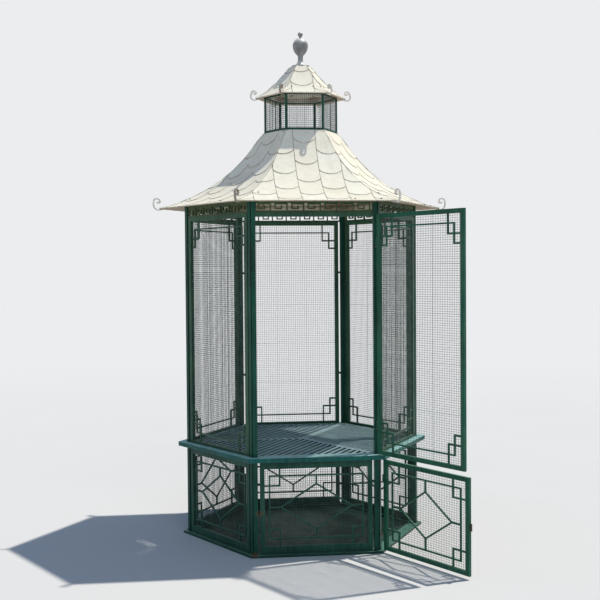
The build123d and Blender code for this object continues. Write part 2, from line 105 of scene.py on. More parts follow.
# Tiles: scalloped sheets in columns, each column half a tile lower than its neighbour
TILE_WIDTH = 0.137
TILE_SEAM = 0.0028
TILE_SHIFT = -0.010  # of the middle column, to the left as seen from outside
TILE_LAP = 0.0045  # a tile's lower edge stands this far off the sheet
TILE_FOOT = 0.0006  # and its hidden upper edge this far
TILE_TUCK = 0.012  # from the hidden edge to the corners of the scallop above
TILE_TILT = 0.0006  # of a tile's sides, at most, one up and the other down
TILE_TONES = (0.2, 1.0)
TILE_ACROSS = (-1.0, -0.955, -0.8, -0.6, -0.4, -0.2, 0.0, 0.2, 0.4, 0.6, 0.8, 0.955, 1.0)
TILE_DOWN = (0.2, 0.4, 0.6, 0.8, 0.93, 1.0)  # shares of the part below the lap's grime
SIDE_STEPS = 8
ROOF_TILE_LENGTH = 0.178
ROOF_FIRST_BOTTOM = 0.100  # down the slope from the head, in the middle column
ROOF_SCALLOP = 0.035
CAP_TILE_LENGTH = 0.136
CAP_FIRST_BOTTOM = 0.060
CAP_SCALLOP = 0.043

# Grime and painted shadow of the tiles, in the laps by the distance past the edge of the tile above
LAP_SHADOW_AND_GRIME = ((-0.002, 1.0), (0.003, 0.85), (0.007, 0.35), (0.016, 0.0))
LAP_REACH = LAP_SHADOW_AND_GRIME[-1][0]
SEAM_GRIME = 0.35
# Painted shade, with grime, on the lips that face down the slope
LIP_SHADE_AND_GRIME = 0.9
LAP_FADE_START = 0.7  # down the slope from here, in shares of its length, the lines in the laps fade
LAP_FADE_STRETCH = 0.2
LAP_FADED_OFF = 0.55

# Scrolls: a bar that gains thickness on its inner side past the corner. The ends of its arcs are
# given by reach and height from the hip's tip.
SCROLL_WIDTH = 0.011
SCROLL_THICKNESS = 0.007
SCROLL_THICKENING = 0.0035
SCROLL_SEAT_GAP = 0.0003
SCROLL_FOOT = 0.040
SCROLL_FAR_SIDE = Vector((0.038, 0.027))
SCROLL_NECK = 0.020
SCROLL_NEAR_SIDE = Vector((-0.005, 0.047))
SCROLL_END = Vector((0.016, 0.045))
SCROLL_SIDES = 12
CAP_SCROLL_SIZE = 0.85
ARC_STEPS = 14

# Finial
FLANGE_RADIUS = 0.056
FLANGE_RIM = 0.003
NECK_RADIUS = 0.0155
NECK_RISE = 0.045  # over the foot
BALL_FOOT_RISE = 0.0695
BALL_SEAT_RADIUS = 0.0195
BALL_RADIUS = 0.048
BELLY_RISE = 0.060  # over the ball's foot
CROWN_RISE = 0.108
COLLAR_RADIUS = 0.008
KNOB_RADIUS = 0.016
FLARE_STEPS = 12
CUP_STEPS = 8

# Studs on each roof face, by the way up from the eave and the way across
CAP_RIVETS = ((0.077, -0.077), (0.078, 0.054), (0.075, 0.101))
CAP_RIVET_RADIUS = 0.0045
CAP_RIVET_HEIGHT = 0.0025
ROOF_BOLTS = ((0.034, 0.218), (0.040, 0.368), (0.157, -0.320))
ROOF_BOLT_RADIUS = 0.0065
ROOF_BOLT_HEIGHT = 0.004
STUD_SINK = 0.001
STUD_SIDES = 12
STUD_LEVELS = (0.92, 0.7, 0.35, 0.0)  # shares of its height, from the top
STUD_GRIME = 0.7
SLOPE_STEP = 0.010

# Rusty places on the lower part, by the way from the foot of the front left post, and their radius
RUST_SPREAD = (
    ((0.030, -0.010, 0.250), 0.030),
    ((0.000, -0.020, 0.012), 0.034),
    ((0.300, -0.010, 0.110), 0.012),
)

# Scrolls at the front left corners, darker brown round their middles
DARK_CORNER = math.radians(240)
DARK_REACH = 0.010
DARK_RISE = 0.030
DARK_RADIUS = 0.120

# Stage: the first world colour lights the part, and the camera and the gloss see the second
FLOOR_HALF = 40.0
FLOOR_NEAR = 12.0
FLOOR_DARK = (0.728, 0.718, 0.703, 1)
FLOOR_PALE = (0.770, 0.760, 0.745, 1)
FLOOR_FAR = (0.784, 0.770, 0.754, 1)
WORLD_LIGHT = (0.152, 0.208, 0.320, 1)
WORLD_SEEN = (0.835, 0.845, 0.86, 1)

# The photograph's camera, from a fit of the wall corners and ledge
CAMERA_PLACE = Vector((-0.7727, -6.5698, 1.6485))
CAMERA_AIM = Vector((0.11459, 0.99296, -0.02994))
CAMERA_ROLL = math.radians(-0.4505)
CAMERA_LENS = 62.877
CAMERA_SENSOR = 36.0
CAMERA_REACH = 200.0

NOISE_ROUGHNESS = 0.55
TOUCHING = 1e-6  # points nearer than this count as one
NO_AREA = 1e-8

rng = random.Random(7)


# Shapes

def full_turn(steps):
    """Even angles all the way round."""
    return [2 * math.pi * n / steps for n in range(steps)]


class Shape:
    """Vertices and faces that become one piece, with a value of grime and painted shade and a tone value for
    each vertex.
    """

    def __init__(self):
        self.points = []
        self.faces = []
        self.smooth = []
        self.grime_and_shade = []
        self.tone = []

    def point(self, place, grime_and_shade=0.0, tone=0.5):
        self.points.append(tuple(place))
        self.grime_and_shade.append(grime_and_shade)
        self.tone.append(tone)
        return len(self.points) - 1

    def face(self, corners, smooth=True):
        self.faces.append(tuple(corners))
        self.smooth.append(smooth)

    def distance(self, one, other):
        return (Vector(self.points[one]) - Vector(self.points[other])).length

    def has_area(self, corners):
        places = [Vector(self.points[n]) for n in corners]
        crosses = [a.cross(b) for a, b in zip(places, places[1:] + places[:1])]
        return sum(crosses, Vector()).length > NO_AREA

    def grid(self, rows, smooth=True):
        """Faces between rows of point numbers: quads, or triangles where two corners meet."""
        for upper, lower in zip(rows, rows[1:]):
            for i in range(len(upper) - 1):
                corners = []
                for n in (upper[i], lower[i], lower[i + 1], upper[i + 1]):
                    if all(self.distance(n, kept) > TOUCHING for kept in corners):
                        corners.append(n)
                if self.has_area(corners):
                    self.face(corners, smooth)

    def ring(self, centre, axis, radius, sides, grime_and_shade=0.0):
        """Points round an axis, with the first one again at the end."""
        across = axis.orthogonal().normalized()
        beside = axis.cross(across)
        ring = [
            self.point(centre + (across * math.cos(a) + beside * math.sin(a)) * radius, grime_and_shade)
            for a in full_turn(sides)
        ]
        return ring + ring[:1]

    def rod(self, start, end, radius, sides=6):
        """Straight round rod between two points, open at its ends."""
        axis = (end - start).normalized()
        first = self.ring(start, axis, radius, sides)
        last = self.ring(end, axis, radius, sides)
        for n in range(sides):
            self.face((first[n], first[n + 1], last[n + 1], last[n]))

    def lathe(self, profile, sides=64):
        """Turned form about the Z axis, from (radius, height) points."""
        rows = []
        for radius, height in reversed(profile):
            if radius < TOUCHING:
                row = [self.point((0.0, 0.0, height))] * sides
            else:
                row = [
                    self.point((radius * math.cos(a), radius * math.sin(a), height))
                    for a in full_turn(sides)
                ]
            rows.append(row + row[:1])
        self.grid(rows)

    def piece(self, name, material, body, slot):
        mesh = bpy.data.meshes.new(name)
        mesh.from_pydata(self.points, [], self.faces)
        mesh.polygons.foreach_set("use_smooth", self.smooth)
        for key, values in (("grime_and_shade", self.grime_and_shade), ("tone", self.tone)):
            layer = mesh.attributes.new(key, "FLOAT", "POINT")
            layer.data.foreach_set("value", values)
        mesh.materials.append(material)
        mesh.update()
        obj = bpy.data.objects.new(name, mesh)
        bpy.context.scene.collection.objects.link(obj)
        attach(obj, body)
        return obj


class Wall:
    """Upright plane: x to the right seen from outside, y up from the ground, z outwards."""

    def __init__(self, origin, across, outwards):
        self.origin = Vector(origin)
        self.across = Vector(across)
        self.outwards = Vector(outwards)

    def at(self, x, y, z=0.0):
        return self.origin + self.across * x + Vector((0, 0, y)) + self.outwards * z


def wall_facing(degrees, apothem=0.0):
    """The wall that looks a given way from the gazebo's axis, at a distance from it."""
    a = math.radians(degrees)
    outwards = Vector((math.cos(a), math.sin(a), 0))
    return Wall(outwards * apothem, (-math.sin(a), math.cos(a), 0), outwards)


def leaf_wall(joint_name, direction):
    """A door leaf's plane, x counted from its pin."""
    joint = next(j for j in frame["joints"] if j["name"] == joint_name)
    pin = joint["pos_m"]
    along = Vector((math.cos(direction), math.sin(direction), 0))
    return Wall((pin[0], pin[1], 0), along, (along.y, -along.x, 0))


class Profile:
    """Outer line of a roof face: straight from the head to the knee, then an arc to the eave."""

    def __init__(self, head, knee, eave):
        self.head = head
        self.eave = eave
        self.along = (knee - head).normalized()
        inwards = Vector((-self.along.y, self.along.x))
        chord = eave - knee
        self.radius = chord.length_squared / (2 * chord.dot(inwards))
        self.centre = knee + inwards * self.radius
        self.straight = (knee - head).length
        self.turn = 2 * math.asin(chord.length / 2 / self.radius)
        self.start = math.atan2(knee.y - self.centre.y, knee.x - self.centre.x)
        self.length = self.straight + self.radius * self.turn

    def at(self, distance, stand):
        """Reach and height at a distance down the slope, standing off the sheet."""
        if distance < self.straight:
            place = self.head + self.along * distance
            normal = Vector((-self.along.y, self.along.x))
        else:
            a = self.start + (distance - self.straight) / self.radius
            arm = Vector((math.cos(a), math.sin(a)))
            place = self.centre + arm * self.radius
            normal = -arm
        return place + normal * stand


roof_eave = Vector((wall_apothem + ROOF_OVERHANG, frieze_top - ROOF_EAVE_DROP))
roof_head_reach = lantern_apothem + LANTERN_DEPTH / 2 + ROOF_HEAD_MARGIN
roof_profile = Profile(
    Vector((roof_head_reach, roof_eave.y + ROOF_HEAD_RISE)),
    Vector((ROOF_KNEE_REACH, roof_eave.y + ROOF_KNEE_RISE)),
    roof_eave,
)
cap_eave = Vector((lantern_apothem + CAP_OVERHANG, lantern_high.z - CAP_EAVE_DROP))
cap_profile = Profile(
    Vector((CAP_HEAD_REACH, cap_eave.y + CAP_HEAD_RISE)),
    Vector((CAP_KNEE_REACH, cap_eave.y + CAP_KNEE_RISE)),
    cap_eave,
)


# Materials

class Shade:
    """A node material with a Principled shader, and short names for the nodes that it is built from."""

    def __init__(self, name):
        self.material = bpy.data.materials.new(name)
        self.material.use_nodes = True
        self.nodes = self.material.node_tree.nodes
        self.links = self.material.node_tree.links
        self.shader = self.nodes["Principled BSDF"]
        self.place = self.nodes.new("ShaderNodeTexCoord").outputs["Object"]
        geometry = self.nodes.new("ShaderNodeNewGeometry")
        self.normal = geometry.outputs["True Normal"]
        self.smooth_normal = geometry.outputs["Normal"]

    def feed(self, socket, value):
        """Links a value that another node gives, and sets a plain one."""
        if isinstance(value, bpy.types.NodeSocket):
            self.links.new(value, socket)
        else:
            socket.default_value = value

    def stretched(self, x, y, z):
        """Places scaled along each axis, so that noise becomes streaks."""
        node = self.nodes.new("ShaderNodeMapping")
        self.links.new(self.place, node.inputs["Vector"])
        node.inputs["Scale"].default_value = (x, y, z)
        return node.outputs["Vector"]

    def noise(self, scale, detail=3.0, place=None, distortion=0.0):
        node = self.nodes.new("ShaderNodeTexNoise")
        self.links.new(place or self.place, node.inputs["Vector"])
        node.inputs["Scale"].default_value = scale
        node.inputs["Detail"].default_value = detail
        node.inputs["Roughness"].default_value = NOISE_ROUGHNESS
        node.inputs["Distortion"].default_value = distortion
        return node.outputs["Fac"]

    def range(self, value, low, high, out_low=0.0, out_high=1.0):
        node = self.nodes.new("ShaderNodeMapRange")
        self.feed(node.inputs["Value"], value)
        node.inputs["From Min"].default_value = low
        node.inputs["From Max"].default_value = high
        node.inputs["To Min"].default_value = out_low
        node.inputs["To Max"].default_value = out_high
        return node.outputs["Result"]

    def patches(self, scale, detail, low, high, out_low=0.0, out_high=1.0, **more):
        """Noise with the values between two limits spread out, which gives patches with soft edges."""
        return self.range(self.noise(scale, detail, **more), low, high, out_low, out_high)

    def math(self, operation, a, b):
        node = self.nodes.new("ShaderNodeMath")
        node.operation = operation
        node.use_clamp = operation in ("ADD", "MULTIPLY")
        self.feed(node.inputs[0], a)
        self.feed(node.inputs[1], b)
        return node.outputs[0]

    def times(self, a, b):
        return self.math("MULTIPLY", a, b)

    def blend(self, a, a_share, b, b_share):
        """Sum of two values, each times its share."""
        return self.math("ADD", self.times(a, a_share), self.times(b, b_share))

    def vector_math(self, operation, a, b=None):
        node = self.nodes.new("ShaderNodeVectorMath")
        node.operation = operation
        self.feed(node.inputs[0], a)
        if b is not None:
            self.feed(node.inputs[1], b)
        return node.outputs["Value"]

    def mix(self, amount, a, b):
        node = self.nodes.new("ShaderNodeMix")
        node.data_type = "RGBA"
        self.feed(node.inputs["Factor"], amount)
        self.feed(node.inputs["A"], a)
        self.feed(node.inputs["B"], b)
        return node.outputs["Result"]

    def layer(self, base, colour, mask, strength=1.0):
        """A colour over the base, where a mask says and as strongly as given."""
        if strength < 1.0:
            mask = self.times(mask, strength)
        return self.mix(mask, base, colour)

    def attribute(self, name):
        node = self.nodes.new("ShaderNodeAttribute")
        node.attribute_name = name
        return node.outputs["Fac"]

    def height_of(self, vector):
        node = self.nodes.new("ShaderNodeSeparateXYZ")
        self.links.new(vector, node.inputs["Vector"])
        return node.outputs["Z"]

    def reach(self):
        """Distance from the gazebo's upright axis."""
        return self.vector_math("LENGTH", self.stretched(1, 1, 0))

    def near(self, centre, radius):
        """1 at a point, falling to 0 at a distance from it."""
        return self.range(self.vector_math("DISTANCE", self.place, centre), 0.0, radius, 1.0, 0.0)

    def crevice(self, distance):
        """1 where another surface is near, 0 in the open: the mask of painted crevice shade."""
        node = self.nodes.new("ShaderNodeAmbientOcclusion")
        node.samples = 8
        node.inputs["Distance"].default_value = distance
        return self.range(node.outputs["AO"], 0.95, 0.35)

    def edges(self, radius):
        """1 on edges and 0 on flats, from how far the rounded normal leaves the true one."""
        bevel = self.nodes.new("ShaderNodeBevel")
        bevel.samples = 4
        bevel.inputs["Radius"].default_value = radius
        return self.range(self.vector_math("DOT_PRODUCT", bevel.outputs["Normal"], self.normal), 0.985, 0.85)

    def bump(self, height, distance, strength):
        node = self.nodes.new("ShaderNodeBump")
        node.inputs["Strength"].default_value = strength
        node.inputs["Distance"].default_value = distance
        self.links.new(height, node.inputs["Height"])
        self.links.new(node.outputs["Normal"], self.shader.inputs["Normal"])

    def finish(self, colour, roughness, metallic=0.0, gloss=0.5):
        self.feed(self.shader.inputs["Base Color"], colour)
        self.feed(self.shader.inputs["Roughness"], roughness)
        self.shader.inputs["Metallic"].default_value = metallic
        self.shader.inputs["Specular IOR Level"].default_value = gloss
        return self.material


def srgb(red, green, blue):
    """Linear colour from 8-bit sRGB values."""
    parts = [c / 255 for c in (red, green, blue)]
    return tuple(c / 12.92 if c <= 0.04045 else ((c + 0.055) / 1.055) ** 2.4 for c in parts) + (1.0,)


RUST = srgb(94, 60, 42)
RUST_PALE = srgb(126, 88, 64)
# Dark green of painted shade in crevices, with dirt
CREVICE_SHADE_AND_DIRT = srgb(12, 34, 30)


def paint(name, colour, deep, worn, dust_and_sky_sheen, dust_and_sheen_amount, rust_spots=(), gloss=0.15):
    """Old gloss paint on steel: streaks, dust and painted sky sheen on level tops, pale worn edges, dirt and
    painted shade in crevices, rusty chips.
    """
    s = Shade(name)
    base = s.mix(s.patches(3.5, 4, 0.35, 0.65), deep, colour)
    streaks = s.patches(1.0, 4, 0.45, 0.75, place=s.stretched(60, 60, 5))
    base = s.layer(base, worn, streaks, 0.17)
    # Level tops lighter: dust, and a painted sky sheen where light from above would fall
    tops = s.range(s.height_of(s.normal), 0.5, 0.95)
    dust_and_sheen_mask = s.times(tops, s.patches(14, 5, 0.25, 0.7, dust_and_sheen_amount * 0.5, dust_and_sheen_amount))
    base = s.layer(base, dust_and_sky_sheen, dust_and_sheen_mask)
    worn_edges = s.times(s.edges(0.0022), s.patches(38, 4, 0.38, 0.62))
    base = s.layer(base, worn, worn_edges, 0.75)
    # Painted shade, with dirt, where another surface is near
    base = s.layer(base, CREVICE_SHADE_AND_DIRT, s.crevice(0.035), 0.6)
    chips = s.times(s.edges(0.003), s.patches(75, 3, 0.62, 0.68))
    for centre, radius in rust_spots:
        ragged = s.math("ADD", s.near(centre, radius), s.patches(60, 4, 0.3, 0.7, -0.35, 0.35))
        chips = s.math("MAXIMUM", chips, s.range(ragged, 0.3, 0.7))
    rust = s.mix(s.noise(160, 3), RUST, RUST_PALE)
    base = s.layer(base, rust, chips, 0.8)
    rough = s.patches(9, 4, 0.3, 0.7, 0.34, 0.52)
    rough = s.math("MAXIMUM", rough, s.times(s.math("MAXIMUM", chips, dust_and_sheen_mask), 0.85))
    s.bump(s.blend(s.noise(420, 2), 0.4, s.noise(45, 3), 0.6), 0.0006, 0.5)
    return s.finish(base, rough, gloss=gloss)


def wire_metal(name):
    """Galvanised wire under thin, dull paint."""
    s = Shade(name)
    base = s.mix(s.patches(22, 4, 0.4, 0.62), srgb(36, 62, 56), srgb(78, 96, 86))
    base = s.layer(base, srgb(88, 70, 52), s.patches(6, 5, 0.58, 0.7), 0.6)
    s.bump(s.noise(600, 2), 0.0003, 0.5)
    return s.finish(base, s.patches(30, 3, 0.3, 0.7, 0.42, 0.65))


def roof_tile_paint(name, base_colour, deeper_tone):
    """Cream paint on sheet metal, each tile its own tone, with grime and painted shadow in the laps, grime in
    the seams, and painted shade with grime on the lips.
    """
    s = Shade(name)
    base = s.mix(s.attribute("tone"), deeper_tone, base_colour)
    base = s.layer(base, srgb(220, 206, 186), s.patches(11, 5, 0.42, 0.72, distortion=0.6), 0.3)
    runs = s.patches(1.0, 5, 0.52, 0.75, place=s.stretched(48, 48, 7))
    base = s.layer(base, srgb(204, 194, 178), runs, 0.22)
    base = s.layer(base, srgb(138, 120, 100), s.patches(230, 2, 0.69, 0.74), 0.4)
    uneven = s.times(s.patches(30, 4, 0.3, 0.65, 0.4, 1.0), s.patches(4, 3, 0.35, 0.65, 0.5, 1.0))
    # Grey-brown lines of painted shadow and shade, with grime, from the tiles' per-vertex values, broken up
    # by noise
    base = s.layer(base, srgb(146, 138, 126), s.times(s.attribute("grime_and_shade"), uneven))
    s.bump(s.blend(s.noise(7, 3), 0.7, s.noise(180, 2), 0.12), 0.004, 0.35)
    return s.finish(base, s.patches(20, 4, 0.3, 0.7, 0.42, 0.62), gloss=0.08)


def roof_sheet_paint(name, inside_dark_bounce_lit, inside_pale_bounce_lit, eave_dark, eave_pale, wall_reach):
    """The sheet under the tiles: dirty above, where only the seams show it, and dusty below,
    browner under the eaves and paler inside the walls, where the paleness is painted bounce light."""
    s = Shade(name)
    above = s.mix(s.noise(60, 4), srgb(118, 110, 98), srgb(168, 158, 144))
    cloudy = s.patches(8, 5, 0.35, 0.65)
    # Paler inside the walls as painted bounce light, browner under the eaves
    outside = s.range(s.reach(), wall_reach, wall_reach * 1.06)
    below = s.mix(outside, s.mix(cloudy, inside_dark_bounce_lit, inside_pale_bounce_lit), s.mix(cloudy, eave_dark, eave_pale))
    below = s.layer(below, srgb(146, 110, 84), s.patches(26, 4, 0.6, 0.7))
    facing_down = s.range(s.height_of(s.normal), 0.02, -0.02)
    s.bump(s.noise(120, 3), 0.0006, 0.4)
    return s.finish(s.mix(facing_down, above, below), s.patches(18, 3, 0.3, 0.7, 0.5, 0.7))


def cast_grey(name):
    """Weathered grey metal of the finial: a painted highlight on top, and darker pits."""
    s = Shade(name)
    base = s.mix(
        s.patches(24, 5, 0.35, 0.65, distortion=0.4), srgb(104, 105, 106), srgb(140, 140, 140),
    )
    # Painted highlight: faces turned upwards are mixed towards near white
    tops = s.range(s.height_of(s.smooth_normal), 0.1, 0.75)
    base = s.layer(base, srgb(224, 224, 222), s.times(tops, s.patches(18, 4, 0.3, 0.65, 0.7, 1.0)))
    base = s.layer(base, srgb(100, 97, 92), s.patches(90, 4, 0.6, 0.7), 0.6)
    s.bump(s.blend(s.noise(35, 4), 0.7, s.noise(300, 2), 0.3), 0.0012, 0.6)
    return s.finish(base, s.patches(40, 4, 0.3, 0.7, 0.34, 0.52), metallic=0.2)


def pale_iron(name, dark_places):
    """Off-white painted scroll iron with rust at its wear, and darker brown round a few places."""
    s = Shade(name)
    base = s.mix(s.patches(60, 4, 0.35, 0.65), srgb(216, 208, 196), srgb(244, 239, 229))
    for centre, radius in dark_places:
        darkened = s.range(s.near(centre, radius), 0.1, 0.4)
        base = s.layer(base, s.mix(s.noise(90, 4), srgb(84, 68, 60), srgb(140, 124, 114)), darkened, 0.85)
    worn_edges = s.times(s.edges(0.0018), s.patches(85, 3, 0.45, 0.6))
    base = s.layer(base, srgb(140, 122, 104), worn_edges, 0.7)
    base = s.layer(base, srgb(132, 98, 70), s.patches(48, 5, 0.62, 0.7))
    s.bump(s.noise(260, 3), 0.0006, 0.5)
    return s.finish(base, s.patches(50, 3, 0.3, 0.7, 0.4, 0.6))


def hinge_iron(name):
    """Dark worn iron, green paint left in patches and rust between them."""
    s = Shade(name)
    base = s.mix(s.patches(70, 4, 0.42, 0.58), srgb(46, 66, 56), srgb(98, 70, 50))
    worn_edges = s.times(s.edges(0.0015), s.patches(120, 3, 0.4, 0.6))
    base = s.layer(base, srgb(150, 138, 122), worn_edges)
    s.bump(s.noise(220, 3), 0.0008, 0.7)
    return s.finish(base, s.patches(60, 3, 0.3, 0.7, 0.45, 0.75), metallic=0.3)


def dark_place(eave):
    """Middle of the scroll over an eave's front left corner."""
    corner = Vector((math.cos(DARK_CORNER), math.sin(DARK_CORNER)))
    reach = eave.x / math.cos(HALF_SECTOR) + DARK_REACH
    return (corner.x * reach, corner.y * reach, eave.y + DARK_RISE)


front_left_foot = Vector((-half_side, -wall_apothem, 0.0))
rust_spots = [(tuple(front_left_foot + Vector(way)), radius) for way, radius in RUST_SPREAD]
dark_places = [(dark_place(eave), DARK_RADIUS) for eave in (roof_eave, cap_eave)]

green = paint(
    "green_paint", colour=srgb(16, 80, 64), deep=srgb(9, 55, 45), worn=srgb(88, 136, 116),
    dust_and_sky_sheen=srgb(112, 156, 152), dust_and_sheen_amount=0.7, rust_spots=rust_spots,
)
panel_green = paint(
    "panel_paint", colour=srgb(56, 96, 73), deep=srgb(36, 72, 58), worn=srgb(122, 148, 114),
    dust_and_sky_sheen=srgb(122, 156, 140), dust_and_sheen_amount=0.7,
)
frieze_green = paint(
    "frieze_paint", colour=srgb(78, 98, 67), deep=srgb(52, 72, 52), worn=srgb(142, 148, 108),
    dust_and_sky_sheen=srgb(128, 150, 128), dust_and_sheen_amount=0.7,
)
# The ledge's paint is the green made lighter and bluer as painted light, with a strong painted sky sheen and
# dust on its top
ledge_green_lit = paint(
    "ledge_paint_lit", colour=srgb(20, 98, 90), deep=srgb(13, 75, 70), worn=srgb(112, 162, 154),
    dust_and_sky_sheen=srgb(180, 228, 226), dust_and_sheen_amount=1.0,
)
lower_green = paint(
    "lower_paint", colour=srgb(37, 85, 70), deep=srgb(21, 62, 53), worn=srgb(112, 148, 120),
    dust_and_sky_sheen=srgb(100, 148, 132), dust_and_sheen_amount=0.8, rust_spots=rust_spots,
)
floor_green = paint(
    "floor_paint", colour=srgb(11, 51, 44), deep=srgb(6, 37, 33), worn=srgb(64, 94, 82),
    dust_and_sky_sheen=srgb(50, 76, 68), dust_and_sheen_amount=0.6, gloss=0.04,
)
tray_green = paint(
    "tray_paint", colour=srgb(62, 106, 108), deep=srgb(40, 82, 86), worn=srgb(152, 180, 178),
    dust_and_sky_sheen=srgb(176, 204, 208), dust_and_sheen_amount=1.0,
)
# The doors' paint is the frame's green made lighter, as painted light on the leaves
door_green_lit = paint(
    "door_paint_lit", colour=srgb(40, 100, 77), deep=srgb(25, 76, 59), worn=srgb(118, 156, 126),
    dust_and_sky_sheen=srgb(120, 156, 136), dust_and_sheen_amount=0.7,
)
wires = wire_metal("mesh_wire")
tile_cream = roof_tile_paint("tile_cream", srgb(252, 247, 230), srgb(246, 238, 217))
sheet_paint = roof_sheet_paint(
    "roof_sheet", inside_dark_bounce_lit=srgb(232, 222, 196), inside_pale_bounce_lit=srgb(248, 240, 218),
    eave_dark=srgb(158, 138, 108), eave_pale=srgb(192, 170, 138), wall_reach=wall_apothem,
)
cap_sheet_paint = roof_sheet_paint(
    "cap_sheet", inside_dark_bounce_lit=srgb(238, 229, 214), inside_pale_bounce_lit=srgb(250, 244, 232),
    eave_dark=srgb(186, 166, 146), eave_pale=srgb(212, 194, 176), wall_reach=lantern_apothem,
)
grey = cast_grey("finial_grey")
pale = pale_iron("scroll_pale", dark_places)
iron = hinge_iron("hinge_iron")

# Material of the CAD's nodes by the start of their names, the first that fits; the others are plain green
NODE_MATERIALS = (
    (sheet_paint, ("roof_panel", "roof_ring")),
    (cap_sheet_paint, ("cap_roof", "lantern_head")),
    (tray_green, ("platform_tray",)),
    (ledge_green_lit, ("platform_ledge",)),
    (lower_green, ("base_frame", "lower_panel")),
    (floor_green, ("base_floor",)),
    (frieze_green, ("frieze",)),
    (panel_green, ("upper_panel", "front_lintel")),
    (iron, ("door_pintles", "lower_door_latch")),
    (door_green_lit, ("upper_door", "lower_door")),
    (pale, ("eave_scrolls", "cap_scrolls")),
    (grey, ("finial",)),
)
for name, node in frame["nodes"].items():
    fitting = (material for material, starts in NODE_MATERIALS if name.startswith(starts))
    node.data.materials.clear()
    node.data.materials.append(next(fitting, green))


# Wire mesh

def mesh_lines(low, high, start):
    """Places between two limits, each a whole number of pitches from the start."""
    first = math.ceil((low - start) / MESH_PITCH)
    last = math.floor((high - start) / MESH_PITCH)
    return [start + n * MESH_PITCH for n in range(first, last + 1)]


def wire_mesh(name, wall, left, right, low, high, body):
    """Welded mesh that fills an opening: upright wires outside, level ones inside."""
    shape = Shape()
    radius = MESH_WIRE / 2
    foot, top = low - MESH_TUCK, high + MESH_TUCK
    for x in mesh_lines(left, right, (left + right) / 2):
        lean = rng.uniform(-UPRIGHT_LEAN, UPRIGHT_LEAN)
        shape.rod(wall.at(x + lean, foot, radius), wall.at(x - lean, top, radius), radius)
    start, end = left - MESH_TUCK, right + MESH_TUCK
    for y in mesh_lines(low, high, (low + high) / 2 + MESH_PITCH / 2):
        lean = rng.uniform(-LEVEL_LEAN, LEVEL_LEAN)
        shape.rod(wall.at(start, y + lean, -radius), wall.at(end, y - lean, -radius), radius)
    shape.piece(name, wires, body, "frame_paint")


def face_mesh(name, place, apothem, half, low, high):
    """Wire mesh about the middle of one of the gazebo's faces."""
    wire_mesh(name, wall_facing(FACE_ANGLES[place], apothem), -half, half, low, high, FRAME_BODY)


inner_half = upper_high.x - PANEL_SLIT - STILE
upper_foot, upper_top = upper_low.z + UPPER_BOTTOM_RAIL, upper_high.z - UPPER_TOP_RAIL
for place in FIXED_UPPER:
    face_mesh(f"upper_mesh_{place}", place, wall_apothem, inner_half, upper_foot, upper_top)
lower_foot, lower_top = lower_low.z + LOWER_RAIL, lower_high.z - LOWER_RAIL
for place in FIXED_LOWER:
    face_mesh(f"lower_mesh_{place}", place, wall_apothem, inner_half, lower_foot, lower_top)

leaf_left = HINGE_REACH + STILE
leaf_right = HINGE_REACH + LEAF_WIDTH - STILE
for node, joint_name, direction, body in (
    ("upper_door", "upper_door_hinge", UPPER_LEAF_DIRECTION, "upper_door_leaf"),
    ("lower_door", "lower_door_hinge", LOWER_LEAF_DIRECTION, "lower_door_leaf"),
):
    low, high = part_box(node)
    wire_mesh(
        f"{node}_mesh", leaf_wall(joint_name, direction), leaf_left, leaf_right,
        low.z + LEAF_RAIL, high.z - LEAF_RAIL, body,
    )

lantern_half = lantern_apothem * math.tan(HALF_SECTOR) - LANTERN_LEG
lantern_foot, lantern_top = lantern_low.z + LANTERN_RAIL, lantern_high.z - LANTERN_RAIL
for place in FACE_ANGLES:
    face_mesh(f"lantern_mesh_{place}", place, lantern_apothem, lantern_half, lantern_foot, lantern_top)


# Roof tiles

